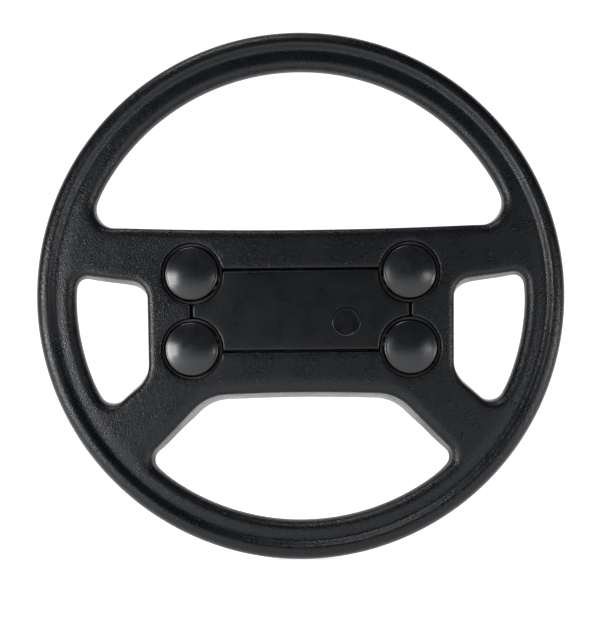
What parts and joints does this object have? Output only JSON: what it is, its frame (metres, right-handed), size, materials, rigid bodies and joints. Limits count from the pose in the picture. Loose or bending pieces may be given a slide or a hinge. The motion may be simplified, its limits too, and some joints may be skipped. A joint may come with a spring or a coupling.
{
  "type": "steering wheel",
  "caption": "Car steering wheel with a soft rim, spokes, round horn buttons and a pull-off centre pad.",
  "frame": {"origin": "on the steering axis, at the rear mouth of the hub bore, where the steering column leaves", "axes": "+Y along the steering column, away from the driver; +Z towards twelve o'clock; +X to the driver's right"},
  "size_m": [0.3798, 0.0688, 0.3798],
  "materials": {
    "armature_steel": "black phosphate paint, matt",
    "machined_steel": "turned, lightly oiled",
    "foam_skin": "self-skinned polyurethane foam with leather grain, satin",
    "pad_skin": "self-skinned polyurethane foam with fine grain, satin",
    "cap_plastic": "black, eggshell sheen",
    "housing_plastic": "black, matt",
    "emblem_plastic": "black, satin",
    "white_plastic": "natural acetal",
    "contact_brass": "brushed",
    "spring_steel": "bright drawn wire",
    "zinc_screws": "zinc plated",
    "brown_insulation": "PVC insulation",
    "black_insulation": "PVC insulation"
  },
  "bodies": {
    "wheel": {"rim_hoop": "armature_steel", "hub_plate": "armature_steel", "spoke_arm_upper_left": "armature_steel", "spoke_arm_upper_right": "armature_steel", "spoke_arm_lower_left": "armature_steel", "spoke_arm_lower_right": "armature_steel", "hub_boss": "machined_steel", "wheel_moulding": "foam_skin", "horn_housing_upper_left": "housing_plastic", "feed_contact_upper_left": "contact_brass", "earth_contact_upper_left": "contact_brass", "horn_spring_upper_left": "spring_steel", "horn_housing_upper_right": "housing_plastic", "feed_contact_upper_right": "contact_brass", "earth_contact_upper_right": "contact_brass", "horn_spring_upper_right": "spring_steel", "horn_housing_lower_left": "housing_plastic", "feed_contact_lower_left": "contact_brass", "earth_contact_lower_left": "contact_brass", "horn_spring_lower_left": "spring_steel", "horn_housing_lower_right": "housing_plastic", "feed_contact_lower_right": "contact_brass", "earth_contact_lower_right": "contact_brass", "horn_spring_lower_right": "spring_steel", "pad_clip_bushes": "white_plastic", "slip_ring_carrier": "white_plastic", "slip_ring": "contact_brass", "cancel_cam": "white_plastic", "rear_shroud": "housing_plastic", "carrier_screws": "zinc_screws", "shroud_screws": "zinc_screws", "horn_feed_leads": "brown_insulation", "horn_earth_leads": "black_insulation", "earth_screws": "zinc_screws", "earth_washers": "zinc_screws"},
    "pad": {"centre_pad": "pad_skin", "pad_carrier": "housing_plastic", "horn_emblem": "emblem_plastic"},
    "button_upper_left": {"horn_cap_upper_left": "cap_plastic", "bridge_contact_upper_left": "contact_brass", "cap_clip_upper_left": "spring_steel"},
    "button_upper_right": {"horn_cap_upper_right": "cap_plastic", "bridge_contact_upper_right": "contact_brass", "cap_clip_upper_right": "spring_steel"},
    "button_lower_left": {"horn_cap_lower_left": "cap_plastic", "bridge_contact_lower_left": "contact_brass", "cap_clip_lower_left": "spring_steel"},
    "button_lower_right": {"horn_cap_lower_right": "cap_plastic", "bridge_contact_lower_right": "contact_brass", "cap_clip_lower_right": "spring_steel"}
  },
  "joints": [
    {"name": "horn_press_upper_left", "type": "slide", "parent": "wheel", "child": "button_upper_left", "axis": [0, 1, 0], "range_m": [0, 0.0025], "stiffness_N_per_m": 900, "springref_m": -0.005, "deforming": ["horn_spring_upper_left"]},
    {"name": "horn_press_upper_right", "type": "slide", "parent": "wheel", "child": "button_upper_right", "axis": [0, 1, 0], "range_m": [0, 0.0025], "stiffness_N_per_m": 900, "springref_m": -0.005, "deforming": ["horn_spring_upper_right"]},
    {"name": "horn_press_lower_left", "type": "slide", "parent": "wheel", "child": "button_lower_left", "axis": [0, 1, 0], "range_m": [0, 0.0025], "stiffness_N_per_m": 900, "springref_m": -0.005, "deforming": ["horn_spring_lower_left"]},
    {"name": "horn_press_lower_right", "type": "slide", "parent": "wheel", "child": "button_lower_right", "axis": [0, 1, 0], "range_m": [0, 0.0025], "stiffness_N_per_m": 900, "springref_m": -0.005, "deforming": ["horn_spring_lower_right"]},
    {"name": "pad_pull_off", "type": "slide", "parent": "wheel", "child": "pad", "axis": [0, -1, 0], "range_m": [0, 0.035]}
  ]
}
